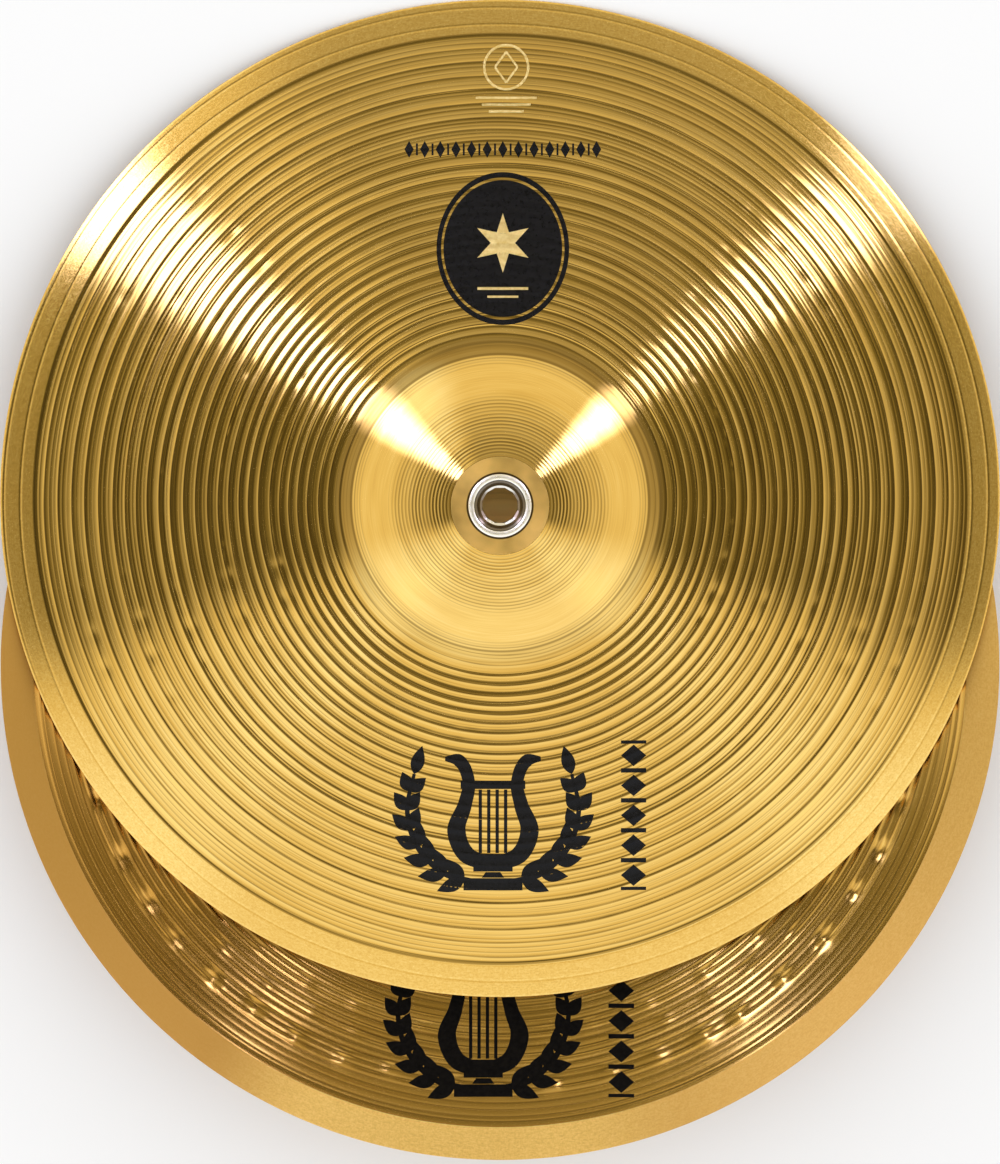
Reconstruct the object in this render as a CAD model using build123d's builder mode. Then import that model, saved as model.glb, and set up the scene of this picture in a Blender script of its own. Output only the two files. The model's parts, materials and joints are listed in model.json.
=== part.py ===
"""A pair of 14 inch hand cymbals, lying one on the other as they are put down.

The lower plate lies bell down on its flat seat.  The upper plate lies bell up on it, set off towards
+Y, so the pair tips until the upper plate's far rim is on the floor.  The two plates touch where
their rims cross and where the lower rim meets the upper bow.  Each plate has a two-piece eyelet.

Every cymbal is drawn once, in a section plane of its own: local x is the radius and local y is the
height above the plane of the rim's mouth, towards the bell.
"""
import os
from math import asin, atan2, cos, degrees, radians, sin, sqrt

from build123d import *

# ---- driving dimensions, mm and degrees ----
RIM_RADIUS = 177.8
BELL_RADIUS = 52.4
NECK_RADIUS = 60.0
SEAT_RADIUS = 17.5
PLATE_HOLE_RADIUS = 7.1

PLATE_THICKNESS = 1.2
RIM_THICKNESS = 0.9

BELL_TOP_SLOPE = radians(8.0)
BELL_EDGE_SLOPE = radians(36.0)
BOW_INNER_SLOPE = radians(3.5)
BOW_RIM_SLOPE = radians(10.2)

OUTER_LATHED_RADIUS = 165.5
OUTER_GROOVES = 26
INNER_LATHED_RADIUS = 163.4
INNER_GROOVES = 30
GROOVE_DEPTH = 0.07
PITCH_GROWTH = 1.2
RIM_LINE_RADII = (169.3, 174.0)
RIM_LINE_HALF_WIDTH = 0.45
RIM_LINE_DEPTH = 0.1

COUNTERSINK_RADIUS = 8.2
COUNTERSINK_DEPTH = 0.75

STRAP_HOLE_RADIUS = 6.2
BARREL_RADIUS = 7.0
FLANGE_RADIUS = 11.2
FLANGE_THICKNESS = 0.55
EDGE_ROUNDING = 0.3
THROAT_RADIUS = 8.9
THROAT_DEPTH = 1.5
THROAT_BULGE = 0.25
FACETS = 12
FACET_FOOT_DEPTH = 2.1
FACET_INRADIUS = 6.25
FACET_TAPER = 30.0

WASHER_BORE_RADIUS = 7.2
WASHER_RADIUS = 11.0
WASHER_THICKNESS = 1.0
ROLL_RADIUS = 8.6
ROLL_STRAIGHT = 1.0
ROLL_BULGE = 0.8

CYMBAL_OFFSET = 60.3
REST_GAP = 0.4

# ---- arcs of the outer face: bell, neck and bow meet in line ----
BELL_ARC = (BELL_RADIUS - SEAT_RADIUS) / (sin(BELL_EDGE_SLOPE) - sin(BELL_TOP_SLOPE))
NECK_ARC = (NECK_RADIUS - BELL_RADIUS) / (sin(BELL_EDGE_SLOPE) - sin(BOW_INNER_SLOPE))
BOW_ARC = (RIM_RADIUS - NECK_RADIUS) / (sin(BOW_RIM_SLOPE) - sin(BOW_INNER_SLOPE))

NECK_FOOT_HEIGHT = RIM_THICKNESS + BOW_ARC * (cos(BOW_INNER_SLOPE) - cos(BOW_RIM_SLOPE))
BELL_EDGE_HEIGHT = NECK_FOOT_HEIGHT + NECK_ARC * (cos(BOW_INNER_SLOPE) - cos(BELL_EDGE_SLOPE))
SEAT_HEIGHT = BELL_EDGE_HEIGHT + BELL_ARC * (cos(BELL_TOP_SLOPE) - cos(BELL_EDGE_SLOPE))
INNER_SEAT_HEIGHT = SEAT_HEIGHT - PLATE_THICKNESS * cos(BELL_TOP_SLOPE)
FLANGE_TOP = SEAT_HEIGHT + FLANGE_THICKNESS
RIM_CONTACT_RADIUS = RIM_RADIUS - RIM_THICKNESS / 2


def bell_point(slope, depth=0.0):
    """A point of the bell, `depth` under the outer face where that face has this slope."""
    radius = SEAT_RADIUS + BELL_ARC * (sin(slope) - sin(BELL_TOP_SLOPE))
    height = SEAT_HEIGHT - BELL_ARC * (cos(BELL_TOP_SLOPE) - cos(slope))
    return radius - depth * sin(slope), height - depth * cos(slope)


def neck_point(slope, depth=0.0):
    """A point of the hollow ring round the bell."""
    radius = BELL_RADIUS + NECK_ARC * (sin(BELL_EDGE_SLOPE) - sin(slope))
    height = BELL_EDGE_HEIGHT - NECK_ARC * (cos(slope) - cos(BELL_EDGE_SLOPE))
    return radius - depth * sin(slope), height - depth * cos(slope)


def bow_point(radius, depth=0.0):
    """A point `depth` under the outer face of the bow, square to that face."""
    slope = asin(sin(BOW_INNER_SLOPE) + (radius - NECK_RADIUS) / BOW_ARC)
    height = RIM_THICKNESS + BOW_ARC * (cos(slope) - cos(BOW_RIM_SLOPE))
    return radius - depth * sin(slope), height - depth * cos(slope)


def groove_radii(last_radius, count):
    """Edges of the lathe's cuts on the bow, wider apart towards the rim."""
    span = last_radius - NECK_RADIUS
    return [NECK_RADIUS + span * (k / count) ** PITCH_GROWTH for k in range(count + 1)]


def draw_grooves(radii, edge_depth, hollow_depth):
    """Shallow arcs from one cut's edge to the next, on either face of the bow."""
    for start, end in zip(radii, radii[1:]):
        middle = (start + end) / 2
        ThreePointArc(
            bow_point(start, edge_depth),
            bow_point(middle, hollow_depth),
            bow_point(end, edge_depth),
        )


def draw_rim_band(start_radius, end_point):
    """The plain band outside the last cut, with a fine line turned into it at each radius."""
    corners = [bow_point(start_radius)]
    for line in RIM_LINE_RADII:
        corners.append(bow_point(line - RIM_LINE_HALF_WIDTH))
        corners.append(bow_point(line, RIM_LINE_DEPTH))
        corners.append(bow_point(line + RIM_LINE_HALF_WIDTH))
    corners.append(end_point)
    Polyline(*corners)


def make_plate(section, axis, label):
    """The bronze plate: countersunk hole, flat seat, bell, neck, lathed bow and rounded rim."""
    half_edge = RIM_THICKNESS / 2
    mid_bell = (BELL_TOP_SLOPE + BELL_EDGE_SLOPE) / 2
    mid_neck = (BELL_EDGE_SLOPE + BOW_INNER_SLOPE) / 2
    inner = PLATE_THICKNESS
    rim_top = bow_point(RIM_RADIUS - half_edge)
    rim_bottom = (RIM_RADIUS - half_edge, 0)

    with BuildPart() as plate:
        with BuildSketch(section):
            with BuildLine():
                Line((COUNTERSINK_RADIUS, SEAT_HEIGHT), bell_point(BELL_TOP_SLOPE))
                ThreePointArc(
                    bell_point(BELL_TOP_SLOPE), bell_point(mid_bell), bell_point(BELL_EDGE_SLOPE)
                )
                ThreePointArc(
                    neck_point(BELL_EDGE_SLOPE), neck_point(mid_neck), neck_point(BOW_INNER_SLOPE)
                )
                draw_grooves(groove_radii(OUTER_LATHED_RADIUS, OUTER_GROOVES), 0, GROOVE_DEPTH)
                draw_rim_band(OUTER_LATHED_RADIUS, rim_top)
                ThreePointArc(rim_top, (RIM_RADIUS, half_edge), rim_bottom)
                Line(rim_bottom, bow_point(INNER_LATHED_RADIUS, inner))
                draw_grooves(
                    groove_radii(INNER_LATHED_RADIUS, INNER_GROOVES), inner, inner - GROOVE_DEPTH
                )
                ThreePointArc(
                    neck_point(BOW_INNER_SLOPE, inner),
                    neck_point(mid_neck, inner),
                    neck_point(BELL_EDGE_SLOPE, inner),
                )
                ThreePointArc(
                    bell_point(BELL_EDGE_SLOPE, inner),
                    bell_point(mid_bell, inner),
                    bell_point(BELL_TOP_SLOPE, inner),
                )
                Polyline(
                    bell_point(BELL_TOP_SLOPE, inner),
                    (PLATE_HOLE_RADIUS, INNER_SEAT_HEIGHT),
                    (PLATE_HOLE_RADIUS, SEAT_HEIGHT - COUNTERSINK_DEPTH),
                    (COUNTERSINK_RADIUS, SEAT_HEIGHT),
                )
            make_face()
        revolve(axis=axis)
    plate.part.label = label
    return plate.part


def make_eyelet(section, axis, facet_plane, label):
    """Flange and throat outside the bell, barrel through the plate, end rolled over the washer."""
    rounding_inset = EDGE_ROUNDING * (1 - sqrt(0.5))
    throat_foot = FLANGE_TOP - THROAT_DEPTH
    throat_width = THROAT_RADIUS - STRAP_HOLE_RADIUS
    throat_slope = atan2(THROAT_DEPTH, throat_width)
    throat_middle = (
        STRAP_HOLE_RADIUS + throat_width / 2 - THROAT_BULGE * sin(throat_slope),
        FLANGE_TOP - THROAT_DEPTH / 2 + THROAT_BULGE * cos(throat_slope),
    )
    countersink_slope = COUNTERSINK_DEPTH / (COUNTERSINK_RADIUS - PLATE_HOLE_RADIUS)
    cone_foot = SEAT_HEIGHT - (COUNTERSINK_RADIUS - BARREL_RADIUS) * countersink_slope
    washer_face = INNER_SEAT_HEIGHT - WASHER_THICKNESS
    roll_start = washer_face - ROLL_STRAIGHT
    roll_middle = (STRAP_HOLE_RADIUS + ROLL_RADIUS) / 2

    with BuildPart() as eyelet:
        with BuildSketch(section):
            with BuildLine():
                Line((STRAP_HOLE_RADIUS, roll_start), (STRAP_HOLE_RADIUS, throat_foot))
                ThreePointArc(
                    (STRAP_HOLE_RADIUS, throat_foot), throat_middle, (THROAT_RADIUS, FLANGE_TOP)
                )
                Line((THROAT_RADIUS, FLANGE_TOP), (FLANGE_RADIUS - EDGE_ROUNDING, FLANGE_TOP))
                ThreePointArc(
                    (FLANGE_RADIUS - EDGE_ROUNDING, FLANGE_TOP),
                    (FLANGE_RADIUS - rounding_inset, FLANGE_TOP - rounding_inset),
                    (FLANGE_RADIUS, FLANGE_TOP - EDGE_ROUNDING),
                )
                Polyline(
                    (FLANGE_RADIUS, FLANGE_TOP - EDGE_ROUNDING),
                    (FLANGE_RADIUS, SEAT_HEIGHT),
                    (COUNTERSINK_RADIUS, SEAT_HEIGHT),
                    (BARREL_RADIUS, cone_foot),
                    (BARREL_RADIUS, washer_face),
                    (ROLL_RADIUS, washer_face),
                    (ROLL_RADIUS, roll_start),
                )
                ThreePointArc(
                    (ROLL_RADIUS, roll_start),
                    (roll_middle, roll_start - ROLL_BULGE),
                    (STRAP_HOLE_RADIUS, roll_start),
                )
            make_face()
        revolve(axis=axis)
        with BuildSketch(facet_plane):
            RegularPolygon(FACET_INRADIUS, FACETS, major_radius=False)
        extrude(amount=FACET_FOOT_DEPTH, taper=-FACET_TAPER, mode=Mode.SUBTRACT)
    eyelet.part.label = label
    return eyelet.part


def make_washer(section, axis, label):
    """The flat ring inside the bell that the end of the barrel is rolled over."""
    ring_middle = (WASHER_BORE_RADIUS + WASHER_RADIUS) / 2
    with BuildPart() as washer:
        with BuildSketch(section):
            with Locations((ring_middle, INNER_SEAT_HEIGHT - WASHER_THICKNESS / 2)):
                Rectangle(WASHER_RADIUS - WASHER_BORE_RADIUS, WASHER_THICKNESS)
        revolve(axis=axis)
        outer_edges = washer.edges().filter_by(GeomType.CIRCLE).sort_by(SortBy.RADIUS)[-2:]
        fillet(outer_edges, EDGE_ROUNDING)
    washer.part.label = label
    return washer.part


def make_cymbal(name, mouth_center, bell_direction):
    """Write the three pieces of one cymbal, about its own axis."""
    x_direction = Vector(1, 0, 0)
    section = Plane(mouth_center, x_dir=x_direction, z_dir=x_direction.cross(bell_direction))
    axis = Axis(mouth_center, bell_direction)
    facet_center = mouth_center + bell_direction * (FLANGE_TOP - FACET_FOOT_DEPTH)
    facet_plane = Plane(facet_center, x_dir=x_direction, z_dir=bell_direction)
    pieces = (
        make_plate(section, axis, f"{name}_cymbal_plate"),
        make_eyelet(section, axis, facet_plane, f"{name}_eyelet"),
        make_washer(section, axis, f"{name}_eyelet_washer"),
    )
    for piece in pieces:
        export_step(piece, f"parts/{piece.label}.step")


def relative_tilt():
    """Tilt of the upper plate on the lower one, whose far rim is under the upper bow."""
    headroom = bow_point(RIM_CONTACT_RADIUS - CYMBAL_OFFSET, PLATE_THICKNESS)[1]
    return atan2(headroom, RIM_CONTACT_RADIUS - CYMBAL_OFFSET / 2)


def lower_plate_tilt(relative):
    """Tilt of the lower plate on the edge of its seat, with the upper far rim on the floor."""
    crossing_to_far_rim = CYMBAL_OFFSET / 2 + RIM_CONTACT_RADIUS
    reach = CYMBAL_OFFSET / 2 + crossing_to_far_rim * cos(relative)
    drop = crossing_to_far_rim * sin(relative) - REST_GAP
    return atan2(SEAT_HEIGHT - drop, reach - SEAT_RADIUS)


# ---- how the pair lies ----
relative = relative_tilt()
lower_tilt = lower_plate_tilt(relative)
upper_tilt = lower_tilt + relative
mouth_direction = Vector(0, sin(lower_tilt), cos(lower_tilt))
forward = Vector(0, cos(lower_tilt), -sin(lower_tilt))
upper_bell_direction = Vector(0, sin(upper_tilt), cos(upper_tilt))

seat_depth = SEAT_RADIUS * sin(lower_tilt) + SEAT_HEIGHT * cos(lower_tilt)
half_offset = CYMBAL_OFFSET / 2
upper_from_lower = (
    forward * (half_offset + half_offset * cos(relative))
    + mouth_direction * (REST_GAP - half_offset * sin(relative))
)
back_edge = -RIM_RADIUS * cos(lower_tilt)
front_edge = upper_from_lower.Y + RIM_RADIUS * cos(upper_tilt)

lower_mouth = Vector(0, -(back_edge + front_edge) / 2, seat_depth)
upper_mouth = lower_mouth + upper_from_lower

os.makedirs("parts", exist_ok=True)
make_cymbal("lower", lower_mouth, -mouth_direction)
make_cymbal("upper", upper_mouth, upper_bell_direction)

print(f"tilts {degrees(lower_tilt):.3f} and {degrees(upper_tilt):.3f} degrees")
print(f"mouth centres {lower_mouth} and {upper_mouth}, plate height {SEAT_HEIGHT:.3f} mm")
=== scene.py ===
"""The looks of a pair of lathed bronze hand cymbals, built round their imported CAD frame.

Each plate is one closed mesh with the lathe's spiral of cuts, the rows of hammer marks and the satin
rim band in its surface.  The eyelets and washers are turned meshes too.  The prints are thin sheets
of ink that follow the cuts: a lyre in a laurel, ornamental rows and an oval badge.

A cymbal's own frame has its origin in the middle of the rim's mouth and +Z towards the bell.
Lengths are in millimetres until a mesh is made.
"""

import json
from math import cos, pi, radians, sin, sqrt, tan, tau

import bpy
import numpy as np
from mathutils import Matrix, Vector


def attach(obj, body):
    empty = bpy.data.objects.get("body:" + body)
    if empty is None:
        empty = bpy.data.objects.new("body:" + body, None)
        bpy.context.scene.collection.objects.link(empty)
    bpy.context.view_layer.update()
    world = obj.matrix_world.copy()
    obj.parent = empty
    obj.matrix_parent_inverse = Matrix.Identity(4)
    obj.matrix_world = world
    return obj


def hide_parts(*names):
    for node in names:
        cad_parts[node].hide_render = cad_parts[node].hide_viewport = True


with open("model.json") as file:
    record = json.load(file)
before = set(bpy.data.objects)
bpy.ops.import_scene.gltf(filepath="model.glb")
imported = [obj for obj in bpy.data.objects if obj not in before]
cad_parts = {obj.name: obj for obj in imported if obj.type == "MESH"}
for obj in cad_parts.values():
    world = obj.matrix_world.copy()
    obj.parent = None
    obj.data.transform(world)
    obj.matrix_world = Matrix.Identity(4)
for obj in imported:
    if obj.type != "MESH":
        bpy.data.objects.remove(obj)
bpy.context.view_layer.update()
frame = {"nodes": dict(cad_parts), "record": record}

MM = 0.001

# ---- the plate, as in the CAD ----
RIM_RADIUS = 177.8
BELL_RADIUS = 52.4
NECK_RADIUS = 60.0
SEAT_RADIUS = 17.5
PLATE_HOLE_RADIUS = 7.1
PLATE_THICKNESS = 1.2
RIM_THICKNESS = 0.9
BELL_TOP = radians(8.0)
BELL_EDGE = radians(36.0)
BOW_INNER = radians(3.5)
BOW_RIM = radians(10.2)
INNER_LATHED_RADIUS = 163.4
COUNTERSINK_RADIUS = 8.2
COUNTERSINK_DEPTH = 0.75
STRAP_HOLE_LEVEL = 29.5

BELL_ARC = (BELL_RADIUS - SEAT_RADIUS) / (sin(BELL_EDGE) - sin(BELL_TOP))
NECK_ARC = (NECK_RADIUS - BELL_RADIUS) / (sin(BELL_EDGE) - sin(BOW_INNER))
BOW_ARC = (RIM_RADIUS - NECK_RADIUS) / (sin(BOW_RIM) - sin(BOW_INNER))
NECK_FOOT_HEIGHT = RIM_THICKNESS + BOW_ARC * (cos(BOW_INNER) - cos(BOW_RIM))
BELL_EDGE_HEIGHT = NECK_FOOT_HEIGHT + NECK_ARC * (cos(BOW_INNER) - cos(BELL_EDGE))
SEAT_HEIGHT = BELL_EDGE_HEIGHT + BELL_ARC * (cos(BELL_TOP) - cos(BELL_EDGE))
SEAT_DEPTH = PLATE_THICKNESS * cos(BELL_TOP)

SATIN_FROM = 166.2
SEGMENTS = 600


def smooth(low, high, value):
    """0 below low, 1 above high, and a smooth step between."""
    t = np.clip((value - low) / (high - low), 0, 1)
    return t * t * (3 - 2 * t)


def face_frame(radius):
    """Height of the outer face at each radius, with the sine and cosine of its slope."""
    radius = np.asarray(radius, float)
    bell = sin(BELL_TOP) + (radius - SEAT_RADIUS) / BELL_ARC
    neck = sin(BELL_EDGE) - (radius - BELL_RADIUS) / NECK_ARC
    bow = sin(BOW_INNER) + (radius - NECK_RADIUS) / BOW_ARC
    zones = [radius < SEAT_RADIUS, radius < BELL_RADIUS, radius < NECK_RADIUS]
    sine = np.select(zones, [0 * radius, bell, neck], bow)
    cosine = np.sqrt(1 - sine**2)
    heights = [
        SEAT_HEIGHT + 0 * radius,
        SEAT_HEIGHT - BELL_ARC * (cos(BELL_TOP) - cosine),
        BELL_EDGE_HEIGHT - NECK_ARC * (cosine - cos(BELL_EDGE)),
    ]
    height = np.select(zones, heights, RIM_THICKNESS + BOW_ARC * (cosine - cos(BOW_RIM)))
    return height, sine, cosine


def thickness(radius):
    """Depth of the inner face under the outer one."""
    thin = RIM_THICKNESS * cos(BOW_RIM)
    taper = np.interp(radius, [INNER_LATHED_RADIUS, RIM_RADIUS], [PLATE_THICKNESS, thin])
    return np.where(radius < SEAT_RADIUS, SEAT_DEPTH, taper)


# ---- tool marks ----
def wander(table, row, path):
    """A table's random values along a path, smoothly joined; each row is a line of its own."""
    knot = np.floor(path).astype(int)
    t = path - knot
    t = t * t * (3 - 2 * t)
    return table[row, knot] * (1 - t) + table[row, knot + 1] * t


class Spiral:
    """One continuous tool path from the bell to the rim, one pitch further out each turn.

    The anchor is a radius where the path has the middle of a turn.
    """

    def __init__(self, seed, radii, pitches, uneven, anchor):
        self.random = np.random.RandomState(seed)
        self.radii = np.linspace(40, 180, 1401)
        pitch = np.interp(self.radii, radii, pitches)
        knots = self.random.uniform(1 - uneven, 1 + uneven, 60)
        pitch = pitch * np.interp(self.radii, np.linspace(40, 165, 60), knots)
        steps = np.diff(self.radii) * 2 / (pitch[1:] + pitch[:-1])
        self.turns = np.concatenate([[0], np.cumsum(steps)])
        lift = np.interp(anchor, self.radii, self.turns)
        self.turns += 4 - (lift - np.floor(lift)) + 0.5
        self.pitches = pitch

    def across(self, radius, angle):
        """Place across the turn, 0 to 1, and place along the path, in turns."""
        winding = np.interp(radius, self.radii, self.turns) - angle / tau
        turn = np.floor(winding)
        return winding - turn, turn + angle / tau

    def cuts(self, across, path, lanes, ridge, hollow, knots):
        """Depth of cuts that lie side by side in each turn, with sharp ridges between them."""
        count = int(np.ceil(self.turns[-1] + 4) * knots)
        ridges = self.random.uniform(*ridge, (lanes, count))
        hollows = self.random.uniform(*hollow, (lanes, count))
        lane = across * lanes
        row = np.minimum(np.floor(lane).astype(int), lanes - 1)
        t = lane - row
        last = row == lanes - 1
        here = wander(ridges, row, path * knots)
        there = wander(ridges, np.where(last, 0, row + 1), (path + last) * knots)
        dip = wander(hollows, row, path * knots)
        return here * (1 - t) + there * t + dip * 4 * t * (1 - t)


def dimples(radius, angle, seed, rows):
    """Depth of rows of hammer marks: each row is (radius, count, width, depth)."""
    random = np.random.RandomState(seed)
    radius, angle = np.broadcast_arrays(radius, angle)
    depth = np.zeros(radius.shape)
    for row_radius, count, width, most in rows:
        turn = random.uniform(0, tau)
        shift, along, size, deep = random.uniform(-1, 1, (4, count))
        near = np.abs(radius - row_radius) < 3.2 * width
        close_radius, close_angle = radius[near], angle[near]
        nearest = np.round((close_angle - turn) * count / tau).astype(int)
        for step in (-1, 0, 1):
            k = (nearest + step) % count
            apart = (close_angle - turn - (k + 0.16 * along[k]) * tau / count + pi) % tau - pi
            across = (close_radius - row_radius - 0.9 * shift[k]) / (width * (1 + 0.2 * size[k]))
            around = apart * row_radius / (width * (1.15 + 0.2 * size[k]))
            depth[near] += most * (0.7 + 0.3 * deep[k]) * np.exp(-(across**2 + around**2))
    return depth


def waviness(radius, angle, seed):
    """Slow unevenness left by the hammer under the lathe's cuts."""
    random = np.random.RandomState(seed)
    total = np.zeros(np.broadcast(radius, angle).shape)
    for k in range(26):
        lobes = random.randint(3, 26)
        length = random.uniform(14, 46)
        turn, start, size = random.uniform(0, tau, 3)
        wave = np.cos(lobes * angle + turn + 0.7 * np.sin(radius / length))
        total += np.sin(radius / length * 2 + start) * wave * (0.4 + size / tau) / sqrt(lobes)
    return total * smooth(60, 80, radius) * (1 - smooth(164, 168, radius))


OUTER_PITCH_RADII = [60, 100, 140, 160, 178]
OUTER_PITCHES = [3.5, 3.9, 4.6, 5.3, 5.6]
INNER_PITCH_RADII = [60, 178]
INNER_PITCHES = [2.35, 2.5]
RIM_LINE_DEPTH = 0.07
RIM_LINE_WIDTH = 0.34
BELL_RING_PITCH = 1.2
BELL_RING_DEPTH = 0.075
INNER_RING_PITCH = 1.9
INNER_RING_DEPTH = 0.012
WAVE_HEIGHT = 0.012
RIDGE_HEIGHT = 0.013
# rows of hammer marks: radius, count, width and depth
OUTER_HAMMER_ROWS = [
    (82.5, 46, 2.3, 0.040),
    (100.0, 50, 2.4, 0.046),
    (119.0, 54, 2.4, 0.046),
    (135.0, 58, 2.4, 0.044),
    (152.0, 62, 2.3, 0.040),
]
# lines turned round the neck: radius, depth and width
NECK_LINES = [(50.2, 0.035, 0.35), (52.2, 0.10, 0.40), (53.6, 0.08, 0.40), (56.4, 0.07, 0.5)]
INNER_HAMMER_ROWS = [
    (76.0, 34, 2.7, 0.16),
    (96.0, 38, 2.7, 0.17),
    (115.0, 40, 2.8, 0.18),
    (133.5, 40, 2.8, 0.22),
    (141.5, 47, 2.4, 0.12),
    (151.7, 51, 2.5, 0.44),
]


def outer_marks(radius, angle, seed):
    """Depth of the tool marks in the outer face."""
    spiral = Spiral(seed, OUTER_PITCH_RADII, OUTER_PITCHES, 0.18, 167.6)
    across, path = spiral.across(radius, angle)
    bow = smooth(59.5, 62, radius) * (1 - smooth(164.4, 166.2, radius))
    cut = spiral.cuts(across, path, 1, (0.0, 0.05), (0.11, 0.18), 1)
    rough_turned = 0.5 + 0.5 * smooth(85, 125, radius)
    cut += rough_turned * spiral.cuts(across, path, 3, (0.0, 0.080), (0.015, 0.055), 1)
    cut += rough_turned * spiral.cuts(across, path, 8, (0.0, 0.014), (0.001, 0.012), 2)
    neck = smooth(53.4, 54.2, radius) * (1 - smooth(59.5, 62, radius))
    depth = cut * (bow + 0.6 * neck)
    for at, most, width in NECK_LINES:
        depth += most * np.exp(-(((radius - at) / width) ** 2))

    pitch = np.interp(radius, spiral.radii, spiral.pitches)
    lone = np.exp(-(((across - 0.5) * pitch / RIM_LINE_WIDTH) ** 2))
    band = smooth(166.0, 166.4, radius) * (1 - smooth(176.4, 176.9, radius))
    depth += RIM_LINE_DEPTH * lone * band

    bell = smooth(17.6, 19.0, radius) * (1 - smooth(33, 42, radius))
    rings = 0.5 - 0.5 * np.cos(tau * radius / BELL_RING_PITCH)
    depth += bell * rings * BELL_RING_DEPTH * (0.75 + 0.25 * np.sin(radius * 0.9))
    depth += bow * dimples(radius, angle, seed + 1, OUTER_HAMMER_ROWS)
    depth += WAVE_HEIGHT * waviness(radius, angle, seed + 2)
    return depth


def inner_marks(radius, angle, seed):
    """Depth of the tool marks in the inner face."""
    spiral = Spiral(seed, INNER_PITCH_RADII, INNER_PITCHES, 0.10, 166.0)
    across, path = spiral.across(radius, angle)
    bow = smooth(56, 62, radius) * (1 - smooth(163.6, 164.2, radius))
    edge = smooth(164.6, 165.0, radius) * (1 - smooth(166.0, 166.5, radius))
    cut = spiral.cuts(across, path, 1, (0.0, 0.04), (0.05, 0.10), 1)
    cut += spiral.cuts(across, path, 4, (0.0, 0.03), (0.002, 0.016), 2)
    coarse = 1 - 0.6 * smooth(154.5, 156, radius)
    depth = cut * bow * coarse + 0.03 * edge
    bell = smooth(18, 20, radius) * (1 - smooth(48, 52, radius))
    rings = 0.5 - 0.5 * np.cos(tau * radius / INNER_RING_PITCH)
    depth += bell * INNER_RING_DEPTH * rings**2
    depth += bow * dimples(radius, angle, seed + 1, INNER_HAMMER_ROWS)
    depth += WAVE_HEIGHT * waviness(radius, angle, seed + 2)
    return depth


class Face:
    """One face of a plate: where a point of it is, with its tool marks."""

    def __init__(self, marks, seed, inner):
        self.marks, self.seed, self.inner = marks, seed, inner

    def depth(self, radius, angle):
        """How far the tool marks go into the plate."""
        return self.marks(radius, angle, self.seed)

    def points(self, radius, depth):
        """Radius and height of points at a depth under the plain face."""
        height, sine, cosine = face_frame(radius)
        if self.inner:
            depth = thickness(radius) - depth
        return radius - depth * sine, height - depth * cosine


def stations(*spans):
    """Radii from span to span; each span is (start, end, step)."""
    parts = []
    for start, end, step in spans:
        count = max(1, round(abs(end - start) / step))
        parts.append(np.linspace(start, end, count, endpoint=False))
    parts.append([spans[-1][1]])
    return np.concatenate(parts)


# ---- meshes ----
def new_object(name, vertices, faces, place, sharp=None):
    """A smooth-shaded mesh object in the row frame, from points in millimetres of a cymbal's frame."""
    mesh = bpy.data.meshes.new(name)
    place = np.array(place)
    vertices = np.asarray(vertices, float) * MM @ place[:3, :3].T + place[:3, 3]
    faces = np.asarray(faces, np.int32)
    corners = faces.shape[1]
    mesh.vertices.add(len(vertices))
    mesh.vertices.foreach_set("co", vertices.astype(np.float32).ravel())
    mesh.loops.add(faces.size)
    mesh.loops.foreach_set("vertex_index", faces.ravel())
    mesh.polygons.add(len(faces))
    mesh.polygons.foreach_set("loop_start", np.arange(0, faces.size, corners, dtype=np.int32))
    mesh.update(calc_edges=True)
    mesh.validate()
    mesh.shade_smooth()
    if sharp is not None:
        mesh.set_sharp_from_angle(angle=radians(sharp))
    thing = bpy.data.objects.new(name, mesh)
    bpy.context.scene.collection.objects.link(thing)
    return thing


def ring_faces(rows, columns, closed_rows):
    """Quads between neighbouring rings of points; the rings are closed."""
    ends = rows if closed_rows else rows - 1
    row = np.arange(ends)[:, None]
    column = np.arange(columns)[None, :]
    after = (row + 1) % rows
    beside = (column + 1) % columns
    corners = [
        row * columns + column,
        after * columns + column,
        after * columns + beside,
        row * columns + beside,
    ]
    return np.stack([np.broadcast_to(c, (ends, columns)) for c in corners], -1).reshape(-1, 4)


def turned(name, radius, height, place, sharp=None):
    """A closed ring-shaped mesh from arrays of radius and height, a row for each ring."""
    rows, columns = radius.shape
    angle = np.arange(columns) * tau / columns
    x, y = radius * np.cos(angle), radius * np.sin(angle)
    points = np.stack([x, y, height], -1).reshape(-1, 3)
    return new_object(name, points, ring_faces(rows, columns, True), place, sharp)


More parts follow.
